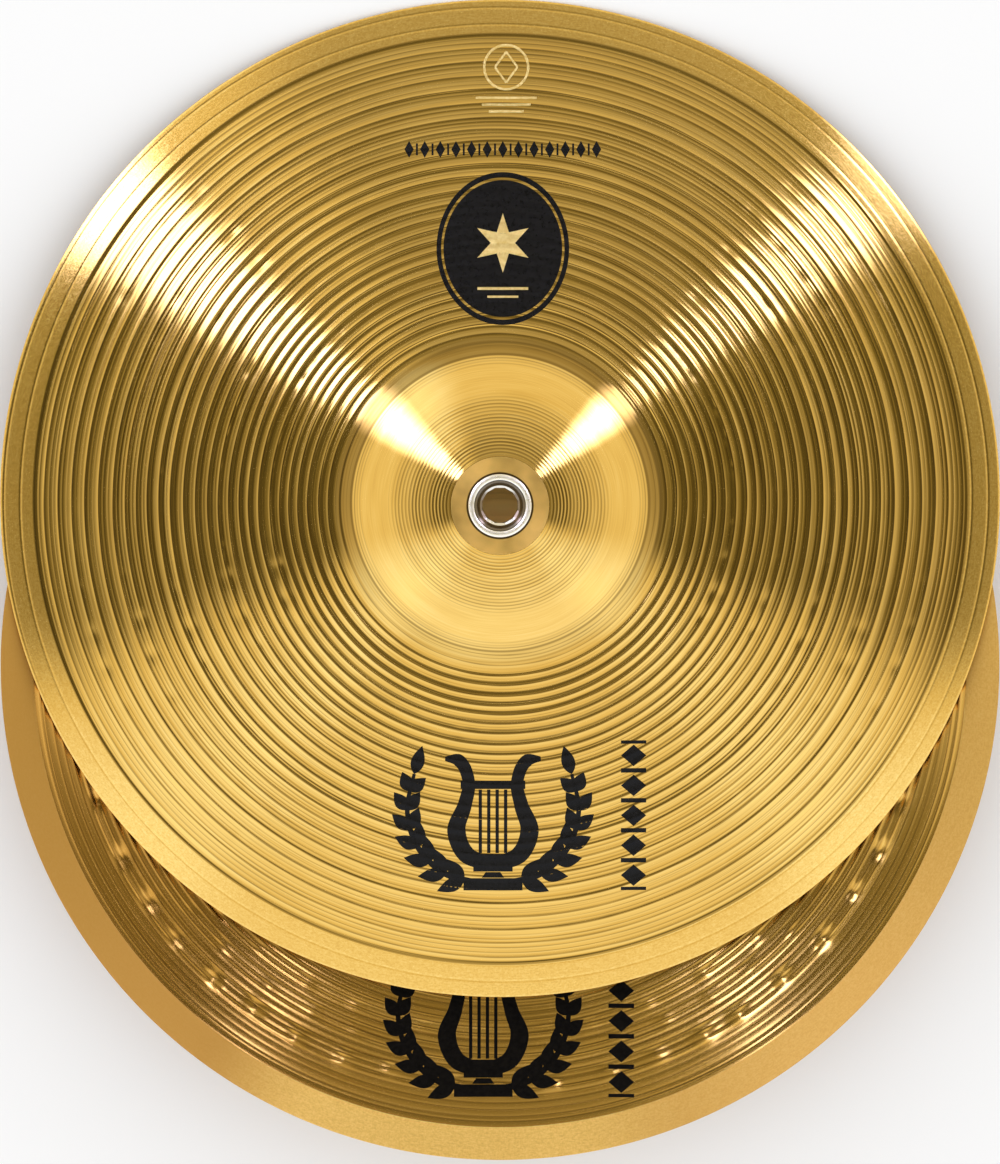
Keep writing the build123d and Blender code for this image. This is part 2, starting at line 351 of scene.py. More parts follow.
def make_plate(name, outer_face, inner_face, outer_stations, inner_stations, place):
    """The bronze plate, from the hole's outer edge round the rim to the inner face and back."""
    angle = np.arange(SEGMENTS)[None, :] * tau / SEGMENTS
    outer_depth = outer_face.depth(outer_stations[:, None], angle)
    inner_depth = inner_face.depth(inner_stations[:, None], angle)
    outer = outer_face.points(outer_stations[:, None], outer_depth)
    inner = inner_face.points(inner_stations[:, None], inner_depth)

    half = RIM_THICKNESS / 2
    turn = np.radians([-66, -42, -16, 12, 40, 66])[:, None]
    centre = RIM_RADIUS - half
    flat = np.ones_like(angle)
    rim = ((centre + half * np.cos(turn)) * flat, (half - half * np.sin(turn)) * flat)
    hole = (
        np.array([PLATE_HOLE_RADIUS, PLATE_HOLE_RADIUS])[:, None] * flat,
        np.array([SEAT_HEIGHT - SEAT_DEPTH, SEAT_HEIGHT - COUNTERSINK_DEPTH])[:, None] * flat,
    )
    radius = np.vstack([outer[0], rim[0], inner[0], hole[0]])
    height = np.vstack([outer[1], rim[1], inner[1], hole[1]])
    plate = turned(name, radius, height, place, sharp=40)
    ring_radius = radius[:, 0]
    satin = (ring_radius > SATIN_FROM) | (ring_radius < SEAT_RADIUS - 0.1)
    indices = np.repeat(satin.astype(np.int32), SEGMENTS)
    plate.data.polygons.foreach_set("material_index", indices)
    edges = [crest(outer_depth), 0 * rim[0], crest(inner_depth), 0 * hole[0]]
    ridge = plate.data.attributes.new("ridge", "FLOAT", "POINT")
    ridge.data.foreach_set("value", np.vstack(edges).astype(np.float32).ravel())
    return plate


def crest(depth):
    """How sharply each ring of points stands up between its neighbours, 0 to 1."""
    rise = np.zeros_like(depth)
    rise[1:-1] = (depth[:-2] + depth[2:]) / 2 - depth[1:-1]
    return np.clip(rise / RIDGE_HEIGHT, 0, 1)


# ---- where the cymbals are ----
def cymbal_place(record, mount_name):
    """A cymbal's own frame in the row frame, from its strap hole."""
    mount = next(m for m in record["mounts"] if m["name"] == mount_name)
    axis = Vector(mount["axis"]).normalized()
    across = Vector((1, 0, 0))
    forward = axis.cross(across).normalized()
    origin = Vector(mount["pos_m"]) - axis * STRAP_HOLE_LEVEL * MM
    place = Matrix((across, forward, axis)).transposed().to_4x4()
    place.translation = origin
    return place


def make_anchor(name, place, body):
    """An empty at a cymbal's own frame, which the materials measure from."""
    anchor = bpy.data.objects.new(name, None)
    bpy.context.scene.collection.objects.link(anchor)
    anchor.matrix_world = place
    anchor.empty_display_size = 0.01
    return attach(anchor, body)


upper_place = cymbal_place(frame["record"], "upper_strap_hole")
lower_place = cymbal_place(frame["record"], "lower_strap_hole")
upper_anchor = make_anchor("upper_anchor", upper_place, "upper_cymbal")
lower_anchor = make_anchor("lower_anchor", lower_place, "lower_cymbal")


# ---- materials ----
class Shader:
    """A material and short ways to add nodes to it."""

    def __init__(self, name):
        self.material = bpy.data.materials.new(name)
        self.material.use_nodes = True
        self.tree = self.material.node_tree
        self.tree.nodes.clear()
        self.surface = self.add("ShaderNodeBsdfPrincipled")
        output = self.add("ShaderNodeOutputMaterial")
        self.tree.links.new(self.surface.outputs["BSDF"], output.inputs["Surface"])

    def add(self, kind, inputs=None, **properties):
        node = self.tree.nodes.new(kind)
        for key, value in properties.items():
            setattr(node, key, value)
        for key, value in (inputs or {}).items():
            self.feed(node.inputs[key], value)
        return node

    def feed(self, socket, value):
        if isinstance(value, bpy.types.NodeSocket):
            self.tree.links.new(value, socket)
        else:
            socket.default_value = value

    def math(self, operation, *values, clamp=False):
        node = self.add("ShaderNodeMath", operation=operation, use_clamp=clamp)
        for socket, value in zip(node.inputs, values):
            self.feed(socket, value)
        return node.outputs[0]

    def span(self, value, low, high, to_low=0.0, to_high=1.0, kind="SMOOTHSTEP"):
        node = self.add("ShaderNodeMapRange", interpolation_type=kind)
        for socket, item in zip(node.inputs, (value, low, high, to_low, to_high)):
            self.feed(socket, item)
        return node.outputs[0]

    def ramp(self, value, stops):
        node = self.add("ShaderNodeValToRGB", {0: value})
        items = node.color_ramp.elements
        while len(items) < len(stops):
            items.new(0.5)
        for item, (position, colour) in zip(items, stops):
            item.position = position
            item.color = (*colour, 1)
        return node.outputs[0]

    def mix(self, factor, first, second, blend="MIX"):
        node = self.add("ShaderNodeMix", data_type="RGBA", blend_type=blend)
        for socket, value in zip((node.inputs[0], node.inputs[6], node.inputs[7]), (factor, first, second)):
            if isinstance(value, tuple):
                value = (*value, 1)
            self.feed(socket, value)
        return node.outputs[2]

    def noise(self, vector, scale, detail=2.0, roughness=0.5):
        inputs = {"Vector": vector, "Scale": scale, "Detail": detail, "Roughness": roughness}
        return self.add("ShaderNodeTexNoise", inputs).outputs[0]

    def polar(self, anchor):
        """Place in the anchor's frame, distance from its axis in millimetres, unit circle x and y."""
        place = self.add("ShaderNodeTexCoord", object=anchor).outputs["Object"]
        x, y, z = self.add("ShaderNodeSeparateXYZ", {0: place}).outputs
        flat = self.add("ShaderNodeCombineXYZ", {0: x, 1: y}).outputs[0]
        radius = self.add("ShaderNodeVectorMath", {0: flat}, operation="LENGTH").outputs["Value"]
        unit = self.add("ShaderNodeVectorMath", {0: flat}, operation="NORMALIZE").outputs[0]
        ux, uy, _ = self.add("ShaderNodeSeparateXYZ", {0: unit}).outputs
        return place, self.math("MULTIPLY", radius, 1000.0), ux, uy

    def outward(self, ux, uy, place_matrix):
        """The direction away from a cymbal's axis, for a tangent."""
        forward = place_matrix.to_3x3().col[1]
        inputs = {
            0: ux,
            1: self.math("MULTIPLY", uy, forward.y),
            2: self.math("MULTIPLY", uy, forward.z),
        }
        away = self.add("ShaderNodeCombineXYZ", inputs).outputs[0]
        turn = {"convert_from": "OBJECT", "convert_to": "WORLD"}
        return self.add("ShaderNodeVectorTransform", {0: away}, **turn).outputs[0]

    def complete(self, colour, rough, bump, others):
        """The finished material, once the surface has its inputs."""
        inputs = {"Base Color": colour, "Roughness": rough, "Normal": bump.outputs["Normal"]}
        for key, value in (inputs | others).items():
            self.feed(self.surface.inputs[key], value)
        return self.material

    def streaks(self, radius, ux, uy, fineness, around, detail=2.0):
        """Noise drawn out round the axis: fineness is per millimetre across, around per turn."""
        inputs = {
            0: self.math("MULTIPLY", ux, around),
            1: self.math("MULTIPLY", uy, around),
            2: self.math("MULTIPLY", radius, fineness),
        }
        vector = self.add("ShaderNodeCombineXYZ", inputs).outputs[0]
        return self.noise(vector, 1.0, detail)


DEEP_GOLD = (0.720, 0.425, 0.090)
GOLD = (0.810, 0.495, 0.110)
PALE_GOLD = (0.870, 0.560, 0.150)
WARM_GOLD = (0.740, 0.410, 0.090)
# colour of the painted shade along the cut ridges and in the bell's crease
PAINTED_SHADE_BROWN = (0.200, 0.110, 0.020)
OLIVE = (0.740, 0.550, 0.190)
# colour of the painted highlight at the front of the lower rim band
HIGHLIGHT_GOLD = (0.960, 0.630, 0.175)
# colour of the painted contact shadow round the eyelet's flange
CONTACT_SHADOW_BROWN = (0.040, 0.024, 0.010)
# colours of the painted side shade on the lower plate and on its rim band
SIDE_SHADE_BROWN = (0.700, 0.330, 0.065)
BAND_SIDE_SHADE = (0.460, 0.225, 0.038)
SEAT_GOLD = (0.860, 0.510, 0.120)
SEAT_SHADE = (0.520, 0.310, 0.070)
SEAT_ROUGHNESS = 0.35
NICKEL = (0.900, 0.800, 0.580)
PALE_NICKEL = (0.940, 0.850, 0.650)
# colours of the painted shade in the eyelet's throat, at its foot and in the line at its edge
THROAT_SHADE_BROWN = (0.110, 0.070, 0.030)
FOOT_SHADE_BROWN = (0.160, 0.100, 0.050)
LIP_SHADE_BROWN = (0.030, 0.022, 0.012)


def bronze_material(name, anchor, place_matrix, dull, painted_light_and_tint):
    """Lathed bronze: bright, with hair lines and streaks round the axis, and painted shade along the cut
    ridges and in the bell's crease.

    Dull adds roughness; the last argument adds the lower plate's painted side shade, browner towards -X,
    and its olive, rougher middle.
    """
    s = Shader(name)
    place, radius, ux, uy = s.polar(anchor)
    fine = s.streaks(radius, ux, uy, 3.2, 2.0)
    broad = s.streaks(radius, ux, uy, 0.30, 2.0)
    hair = s.streaks(radius, ux, uy, 2.2, 1.5, 1.0)
    cloud = s.noise(place, 9.0, 4.0, 0.55)

    tone = s.math("ADD", s.math("MULTIPLY", fine, 0.6), s.math("MULTIPLY", broad, 0.4))
    colour = s.ramp(tone, [(0.30, DEEP_GOLD), (0.5, GOLD), (0.70, PALE_GOLD)])
    colour = s.mix(s.span(cloud, 0.45, 0.75, 0.0, 0.22), colour, WARM_GOLD)
    ridge = s.add("ShaderNodeAttribute", attribute_name="ridge").outputs["Fac"]
    # painted shade: the cut ridges are darkened towards dark brown, in place of the shade in the narrow
    # grooves
    colour = s.mix(s.math("MULTIPLY", ridge, 0.65), colour, PAINTED_SHADE_BROWN)
    # painted side shade: the lower plate is browner towards -X of its own frame, less so towards +X
    side_shade = s.math("MULTIPLY", s.span(ux, -0.9, 0.3, 1.0, 0.35), painted_light_and_tint)
    colour = s.mix(side_shade, colour, SIDE_SHADE_BROWN)
    colour = s.mix(s.span(radius, 85.0, 110.0, painted_light_and_tint, 0.0), colour, OLIVE)
    # painted shade in the crease at the bell's edge, stronger on the +Y side of the cymbal's frame
    crease_shade = s.math("MULTIPLY", s.span(radius, 52.0, 52.7), s.span(radius, 57.0, 60.0, 1.0, 0.0))
    crease_shade = s.math("MULTIPLY", crease_shade, s.span(uy, -0.8, 0.1, 0.15, 0.72))
    colour = s.mix(crease_shade, colour, PAINTED_SHADE_BROWN)
    rough = s.span(tone, 0.3, 0.7, 0.055 + dull, 0.085 + 1.3 * dull, "LINEAR")
    rough = s.math("ADD", rough, s.span(cloud, 0.35, 0.7, -0.003, 0.015, "LINEAR"))
    burr = s.streaks(radius, ux, uy, 1.5, 1.3, 1.0)
    burr = s.math("MULTIPLY", s.span(burr, 0.60, 0.68), s.span(radius, 58.0, 62.0, 0.0, 0.08))
    rough = s.math("ADD", rough, burr)
    rough = s.math("ADD", rough, s.span(radius, 85.0, 110.0, 0.5 * painted_light_and_tint, 0.0))

    height = s.math("ADD", s.math("MULTIPLY", hair, 0.6), s.math("MULTIPLY", fine, 0.8))
    bump = s.add("ShaderNodeBump", {"Strength": 0.5, "Distance": 0.00001, "Height": height})
    away = s.outward(ux, uy, place_matrix)
    return s.complete(colour, rough, bump, {"Metallic": 1.0, "Anisotropic": 0.6, "Tangent": away})


def satin_material(name, anchor, place_matrix, dull, painted_light_and_tint):
    """The plain bronze of the rim band and the seat, matt with a fine grain.

    Dull adds roughness to the band; the last argument adds the lower plate's painted side shade and a
    painted highlight at its front.
    """
    s = Shader(name)
    place, radius, ux, uy = s.polar(anchor)
    grain = s.noise(place, 1400.0, 3.0, 0.65)
    brushed = s.streaks(radius, ux, uy, 2.2, 90.0)
    cloud = s.noise(place, 14.0, 3.0, 0.5)
    tone = s.math("ADD", s.math("MULTIPLY", grain, 0.6), s.math("MULTIPLY", brushed, 0.4))
    colour = s.ramp(tone, [(0.38, DEEP_GOLD), (0.5, GOLD), (0.62, PALE_GOLD)])
    # painted highlight: the lower band is lightened towards -Y, its front
    front_highlight = s.math("MULTIPLY", s.span(uy, -0.97, -0.8, 0.9, 0.0), painted_light_and_tint)
    colour = s.mix(front_highlight, colour, HIGHLIGHT_GOLD)
    colour = s.mix(s.span(cloud, 0.4, 0.75, 0.0, 0.2), colour, WARM_GOLD)
    # painted side shade: the lower band is browner towards -X and half as much towards +X
    side_shade = s.math("MULTIPLY", s.span(ux, -0.62, -0.38, 0.85, 0.0), painted_light_and_tint)
    colour = s.mix(side_shade, colour, BAND_SIDE_SHADE)
    side_shade = s.math("MULTIPLY", s.span(ux, 0.1, 0.4, 0.0, 0.5), painted_light_and_tint)
    colour = s.mix(side_shade, colour, BAND_SIDE_SHADE)
    at_seat = s.span(radius, 18.0, 30.0, 1.0, 0.0)
    blotch = s.noise(place, 70.0, 2.0)
    seat_colour = s.ramp(blotch, [(0.38, SEAT_SHADE), (0.62, SEAT_GOLD)])
    colour = s.mix(s.math("MULTIPLY", at_seat, 0.9), colour, seat_colour)
    # painted contact shadow: a dark ring in the seat just outside the eyelet's flange
    colour = s.mix(s.span(radius, 11.75, 12.05, 0.96, 0.0), colour, CONTACT_SHADOW_BROWN)
    seat_rough = s.math("MULTIPLY", at_seat, SEAT_ROUGHNESS)
    band_rough = s.math("ADD", s.span(tone, 0.3, 0.7, 0.10, 0.15, "LINEAR"), dull)
    band_rough = s.math("MULTIPLY", s.span(radius, 18.0, 30.0), band_rough)
    rough = s.math("ADD", seat_rough, band_rough)
    bump = s.add("ShaderNodeBump", {"Distance": 0.000012, "Height": tone})
    s.feed(bump.inputs["Strength"], s.span(radius, 18.0, 30.0, 0.06, 0.5))
    away = s.outward(ux, uy, place_matrix)
    return s.complete(colour, rough, bump, {"Metallic": 1.0, "Anisotropic": 0.5, "Tangent": away})


def nickel_material(name, anchor):
    """Bright nickel plate, with painted shade down the throat, at the throat's foot and in the line between
    throat and flange.
    """
    s = Shader(name)
    place, radius, ux, uy = s.polar(anchor)
    # painted shade down the throat
    throat = s.math("MULTIPLY", s.span(radius, 7.15, 7.3), s.span(radius, 8.85, 9.05, 1.0, 0.0))
    wear = s.noise(place, 420.0, 4.0, 0.6)
    turned_lines = s.streaks(radius, ux, uy, 6.0, 3.0)
    colour = s.ramp(wear, [(0.3, NICKEL), (0.7, PALE_NICKEL)])
    colour = s.mix(s.math("MULTIPLY", throat, 0.92), colour, THROAT_SHADE_BROWN)
    # painted shade at the throat's foot, stronger towards +X and -X
    aside = s.span(s.math("ABSOLUTE", uy), 0.55, 0.85, 0.9, 0.2)
    foot = s.math("MULTIPLY", s.span(radius, 7.15, 7.3, 1.0, 0.0), aside)
    colour = s.mix(foot, colour, FOOT_SHADE_BROWN)
    # painted shade: a dark line where the throat meets the flange
    lip_shade = s.math("MULTIPLY", s.span(radius, 8.85, 8.95), s.span(radius, 9.1, 9.2, 1.0, 0.0))
    colour = s.mix(s.math("MULTIPLY", lip_shade, 0.85), colour, LIP_SHADE_BROWN)
    flange = s.span(radius, 9.0, 9.3, 0.12, 0.20)
    rough = s.math("ADD", s.span(wear, 0.3, 0.75, 0.06, 0.12, "LINEAR"), flange)
    bump = s.add("ShaderNodeBump", {"Strength": 0.15, "Distance": 0.00001})
    s.feed(bump.inputs["Height"], s.math("ADD", turned_lines, s.math("MULTIPLY", wear, 0.5)))
    return s.complete(colour, rough, bump, {"Metallic": 1.0})


def ink_material(name, anchor, dark, light, metallic, shine, roughness):
    """Screen-printed ink with a faint mottle."""
    s = Shader(name)
    place, radius, ux, uy = s.polar(anchor)
    mottle = s.noise(place, 700.0, 3.0, 0.6)
    lines = s.streaks(radius, ux, uy, 3.0, 3.0)
    colour = s.ramp(mottle, [(0.35, dark), (0.7, light)])
    rough = s.span(mottle, 0.3, 0.7, roughness - 0.06, roughness + 0.08, "LINEAR")
    bump = s.add("ShaderNodeBump", {"Strength": 0.25, "Distance": 0.00003, "Height": lines})
    return s.complete(colour, rough, bump, {"Metallic": metallic, "Specular IOR Level": shine})


upper_bronze = bronze_material("upper_bronze", upper_anchor, upper_place, 0.0, 0.0)
lower_bronze = bronze_material("lower_bronze", lower_anchor, lower_place, 0.045, 0.6)
upper_satin = satin_material("upper_satin", upper_anchor, upper_place, -0.03, 0.0)
lower_satin = satin_material("lower_satin", lower_anchor, lower_place, 0.32, 1.0)
BLACK = ((0.003, 0.0024, 0.0016), (0.007, 0.0055, 0.0035), 0.0)
upper_ink = (ink_material("upper_ink", upper_anchor, *BLACK, 0.16, 0.30), "black_ink")
lower_ink = (ink_material("lower_ink", lower_anchor, *BLACK, 0.03, 0.45), "black_ink")
YELLOW = ((0.80, 0.55, 0.16), (0.92, 0.70, 0.26), 1.0)
gold_ink = (ink_material("gold_ink", upper_anchor, *YELLOW, 0.3, 0.36), "gold_ink")


def dress(thing, material, body, node=None):
    """Gives a piece its material and the body it rides on, and hides the CAD node it stands for."""
    thing.data.materials.append(material)
    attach(thing, body)
    if node:
        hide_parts(node)
    return thing


# ---- plates ----
FINE = 1.0
BELL_SPANS = [(COUNTERSINK_RADIUS, 17.3, 0.9), (17.3, 17.7, 0.1), (17.7, 42, 0.2 * FINE)]
BELL_SPANS += [(42, 49, 0.6 * FINE), (49, 61, 0.26 * FINE)]
outer_fine = stations(*BELL_SPANS, (61, 166, 0.25 * FINE), (166, 177.2, 0.25 * FINE))
outer_coarse = stations(*BELL_SPANS, (61, 166, 0.8 * FINE), (166, 177.2, 0.5 * FINE))
INNER_BELL = [(52, 44, 0.8 * FINE), (44, 17.7, 0.5 * FINE), (17.7, 17.3, 0.1), (17.3, 7.2, 0.9)]
inner_fine = stations((177.2, 163, 0.3 * FINE), (163, 61, 0.4 * FINE), (61, 52, 0.5 * FINE), *INNER_BELL)
inner_coarse = stations((177.2, 163, 0.5 * FINE), (163, 61, 0.6 * FINE), (61, 52, 0.5 * FINE), *INNER_BELL)

upper_outer = Face(outer_marks, 11, False)
upper_inner = Face(inner_marks, 23, True)
lower_outer = Face(outer_marks, 37, False)
lower_inner = Face(inner_marks, 41, True)

upper_plate = make_plate("upper_plate", upper_outer, upper_inner, outer_fine, inner_coarse, upper_place)
lower_plate = make_plate("lower_plate", lower_outer, lower_inner, outer_coarse, inner_fine, lower_place)
dress(upper_plate, upper_bronze, "upper_cymbal", "upper_cymbal_plate")
dress(lower_plate, lower_bronze, "lower_cymbal", "lower_cymbal_plate")
upper_plate.data.materials.append(upper_satin)
lower_plate.data.materials.append(lower_satin)

# ---- eyelets and washers: the CAD's sizes, with a crowned flange and flatter facets ----
BARREL_RADIUS = 7.0
FLANGE_RADIUS = 11.2
FLANGE_TOP = SEAT_HEIGHT + 0.55
THROAT_RADIUS = 8.9
THROAT_DEPTH = 1.45
FACETS = 12
FACET_FOOT_DEPTH = 2.1
FACET_INRADIUS = 6.25
THROAT_FOOT_RADIUS = 7.25
FACET_TAPER = radians(56)
FLANGE_CROWN = 0.40
FLANGE_SHOULDER = 0.30
INNER_SEAT = SEAT_HEIGHT - SEAT_DEPTH
ROLL_MIDDLE, ROLL_HALF_WIDTH = 7.4, 1.2
ROLL_STRAIGHT, ROLL_BULGE = 1.0, 0.8
ROLL_FOOT_RADIUS = 8.4
WASHER_BORE_RADIUS = 7.2
WASHER_MIDDLE = 9.0
WASHER_RADIUS = 11.0
WASHER_THICKNESS = 1.0
BORE_CHAMFER = 0.1
EDGE_ROUNDING = 0.3
EYELET_SEGMENTS = 240


def make_eyelet(name, place):
    """Flange, throat with twelve facets at its foot, barrel, and the end rolled over the washer."""
    angle = np.arange(EYELET_SEGMENTS)[None, :] * tau / EYELET_SEGMENTS
    flat = np.ones_like(angle)
    facet = tau / FACETS
    aside = (angle + facet / 2) % facet - facet / 2

    down = np.linspace(FACET_FOOT_DEPTH, 0, 22)[:, None]
    share = np.clip(1 - down / THROAT_DEPTH, 0, 1)
    throat = THROAT_FOOT_RADIUS + (THROAT_RADIUS - THROAT_FOOT_RADIUS) * share**1.1
    polygon = (FACET_INRADIUS + (FACET_FOOT_DEPTH - down) * tan(FACET_TAPER)) / np.cos(aside)
    radius = [np.minimum(throat, polygon)]
    height = [(FLANGE_TOP - down) * flat]

    def row(r, z):
        radius.append(r * flat)
        height.append(z * flat)

    half = (FLANGE_RADIUS - THROAT_RADIUS) / 2 - 0.05
    middle = FLANGE_RADIUS - half
    for turn in np.radians(np.linspace(170, 0, 18)):
        row(middle + half * cos(turn), FLANGE_TOP - FLANGE_SHOULDER + FLANGE_CROWN * sin(turn))
    row(FLANGE_RADIUS, SEAT_HEIGHT + 0.08)
    row(FLANGE_RADIUS - 0.1, SEAT_HEIGHT)
    row(COUNTERSINK_RADIUS, SEAT_HEIGHT)
    row(BARREL_RADIUS, SEAT_HEIGHT - 0.82)
    washer_face = INNER_SEAT - WASHER_THICKNESS
    row(BARREL_RADIUS, washer_face)
    row(ROLL_FOOT_RADIUS, washer_face)
    for turn in np.linspace(0, pi, 9):
        roll_height = washer_face - ROLL_STRAIGHT - ROLL_BULGE * sin(turn)
        row(ROLL_MIDDLE + ROLL_HALF_WIDTH * cos(turn), roll_height)
    return turned(name, np.vstack(radius), np.vstack(height), place, sharp=25)


def make_washer(name, place):
    """The flat ring inside the bell, with a rounded outer edge."""
    flat = np.ones((1, EYELET_SEGMENTS))
    low, high = INNER_SEAT - WASHER_THICKNESS, INNER_SEAT
    bore, chamfered = WASHER_BORE_RADIUS, WASHER_BORE_RADIUS + BORE_CHAMFER
    points = [(chamfered, low), (bore, low + BORE_CHAMFER), (bore, high - BORE_CHAMFER)]
    points += [(chamfered, high), (WASHER_MIDDLE, high)]
    corners = [(high - EDGE_ROUNDING, (90, 60, 30, 0)), (low + EDGE_ROUNDING, (0, -30, -60, -90))]
    for centre, turns in corners:
        for turn in np.radians(turns):
            edge = WASHER_RADIUS - EDGE_ROUNDING + EDGE_ROUNDING * cos(turn)
            points.append((edge, centre + EDGE_ROUNDING * sin(turn)))
    points.append((WASHER_MIDDLE, low))
    array = np.array(points)[:, :, None]
    return turned(name, array[:, 0] * flat, array[:, 1] * flat, place, sharp=35)


for side, place, anchor in (("upper", upper_place, upper_anchor), ("lower", lower_place, lower_anchor)):
    body = f"{side}_cymbal"
    nickel = nickel_material(f"{side}_nickel", anchor)
    dress(make_eyelet(f"{side}_eyelet_turned", place), nickel, body, f"{side}_eyelet")
    washer = make_washer(f"{side}_washer_turned", place)
    dress(washer, nickel, body, f"{side}_eyelet_washer")


# ---- prints ----
INK_STEP = 0.5


def patch(a, b, c, d):
    """A four-sided patch of points between corners in order."""
    a, b, c, d = (np.array(p, float) for p in (a, b, c, d))
    longest = max(np.linalg.norm(p - q) for p, q in ((a, b), (d, c)))
    widest = max(np.linalg.norm(p - q) for p, q in ((a, d), (b, c)))
    u = np.linspace(0, 1, max(2, int(longest / INK_STEP) + 2))[:, None, None]
    v = np.linspace(0, 1, max(2, int(widest / INK_STEP) + 2))[None, :, None]
    return (a * (1 - u) + b * u) * (1 - v) + (d * (1 - u) + c * u) * v


def bar(x0, y0, x1, y1):
    """An upright rectangle between two corners."""
    return patch((x0, y0), (x1, y0), (x1, y1), (x0, y1))


def lozenge(x, y, half_width, half_height):
    """A lozenge about x, y."""
    return patch((x - half_width, y), (x, y - half_height), (x + half_width, y), (x, y + half_height))


def oval(x, y, width, height, inner, start=0.0, end=tau):
    """An oval ring, or a filled oval if inner is 0; inner is a share of the whole."""
    steps = max(12, int((end - start) * max(width, height) / INK_STEP))
    angle = np.linspace(start, end, steps)[:, None]
    rings = max(2, int((1 - inner) * max(width, height) / INK_STEP) + 2)
    share = np.linspace(inner if inner else 0.001, 1, rings)[None, :]
    return np.stack([x + width * share * np.cos(angle), y + height * share * np.sin(angle)], -1)


def ribbon(points, widths):
    """A band along a smooth line through points, as wide as widths says at each."""
    points, widths = np.array(points, float), np.array(widths, float)
    lengths = np.concatenate([[0], np.cumsum(np.linalg.norm(np.diff(points, axis=0), axis=1))])
    t = np.linspace(0, lengths[-1], max(8, int(lengths[-1] / INK_STEP)))
    line = np.stack([catmull(lengths, points[:, k], t) for k in (0, 1)], -1)
    width = np.interp(t, lengths, widths)
    along = np.gradient(line, axis=0)
    along /= np.linalg.norm(along, axis=1, keepdims=True)
    aside = np.stack([-along[:, 1], along[:, 0]], -1) * width[:, None] / 2
    across = np.linspace(-1, 1, max(3, int(widths.max() / INK_STEP) + 2))[None, :, None]
    return line[:, None] + aside[:, None] * across


def catmull(knots, values, t):
    """A smooth line through values at knots."""
    slopes = np.gradient(values, knots)
    k = np.clip(np.searchsorted(knots, t) - 1, 0, len(knots) - 2)
    span = knots[k + 1] - knots[k]
    u = (t - knots[k]) / span
    return (
        values[k] * (1 + 2 * u) * (1 - u) ** 2
        + slopes[k] * span * u * (1 - u) ** 2
        + values[k + 1] * u * u * (3 - 2 * u)
        + slopes[k + 1] * span * u * u * (u - 1)
    )


def leaf(x, y, length, width, direction):
    """A leaf with its foot at x, y."""
    u = np.linspace(0, 1, int(length / INK_STEP) + 4)[:, None]
    v = np.linspace(-1, 1, 7)[None, :]
    half = width / 2 * np.sin(pi * u**0.8) + 0.02
    along, aside = u * length + 0 * v, half * v
    c, s = cos(direction), sin(direction)
    return np.stack([x + along * c - aside * s, y + along * s + aside * c], -1)


def star(x, y, size, waist, points):
    """A star of kite-shaped arms."""
    arms = []
    for k in range(points):
        turn = pi / 2 + k * tau / points
        corners = [(x, y)]
        for reach, angle in ((waist, turn - pi / points), (size, turn), (waist, turn + pi / points)):
            corners.append((x + reach * cos(angle), y + reach * sin(angle)))
        arms.append(patch(*corners))
    return arms


def mirrored(grid, x):
    """The grid's mirror image about an upright line."""
    other = grid.copy()
    other[..., 0] = 2 * x - other[..., 0]
    return other[::-1]


def lyre(x, y):
    """A lyre in a laurel, 73 mm wide and 54 mm high, about x, y."""
    arm = [(1.5, -17.5), (9.5, -14.0), (13.0, -5.5), (10.0, 4.0), (8.6, 12.0), (12.5, 20.0), (17.0, 20.5)]
    grids = [ribbon([(x + a, y + b) for a, b in arm], [5.0, 6.2, 6.6, 5.0, 4.4, 4.6, 1.6])]
    sprig = [(5.0, -24.5), (17.0, -21.0), (27.0, -11.0), (30.5, 2.0), (28.0, 15.0)]
    grids.append(ribbon([(x + a, y + b) for a, b in sprig], [2.4, 2.2, 2.0, 1.7, 1.2]))
    line = np.array(sprig)
    lengths = np.concatenate([[0], np.cumsum(np.linalg.norm(np.diff(line, axis=0), axis=1))])
    for k in range(7):
        t = np.array([lengths[-1] * (0.10 + 0.13 * k)])
        foot = [catmull(lengths, line[:, j], t)[0] for j in (0, 1)]
        ahead = [catmull(lengths, line[:, j], t + 1)[0] for j in (0, 1)]
        heading = np.arctan2(ahead[1] - foot[1], ahead[0] - foot[0])
        size = 10.5 - 0.5 * k
        grids.append(leaf(x + foot[0], y + foot[1], size, 4.9, heading + 0.62))
        grids.append(leaf(x + foot[0], y + foot[1], size, 4.9, heading - 0.62))
    tip = leaf(x + sprig[-1][0], y + sprig[-1][1], 10.5, 4.8, radians(106))
    grids.append(tip)
    grids += [mirrored(g, x) for g in grids]
    grids.append(bar(x - 11.5, y + 9.6, x + 11.5, y + 12.6))
    grids += [bar(x + k - 0.6, y - 13.5, x + k + 0.6, y + 9.4) for k in (-4.5, -1.5, 1.5, 4.5)]
    grids.append(bar(x - 7.0, y - 20.2, x + 7.0, y - 13.8))
    grids.append(bar(x - 10.5, y - 27.0, x + 10.5, y - 22.6))
    grids.append(patch((x - 4.0, y - 22.4), (x + 4.0, y - 22.4), (x + 2.6, y - 20.4), (x - 2.6, y - 20.4)))
    return grids


def upright_row(x, y0, y1, half_width):
    """A column of lozenges with bars between them."""
    grids = []
    count = 5
    step = (y1 - y0) / count
    for k in range(count):
        middle = y0 + (k + 0.5) * step
        grids.append(lozenge(x, middle, half_width, step * 0.36))
        if k:
            edge = y0 + k * step
            grids.append(bar(x - half_width, edge - 0.8, x + half_width, edge + 0.8))
    grids.append(bar(x - half_width, y0, x + half_width, y0 + 1.2))
    grids.append(bar(x - half_width, y1 - 1.2, x + half_width, y1))
    return grids


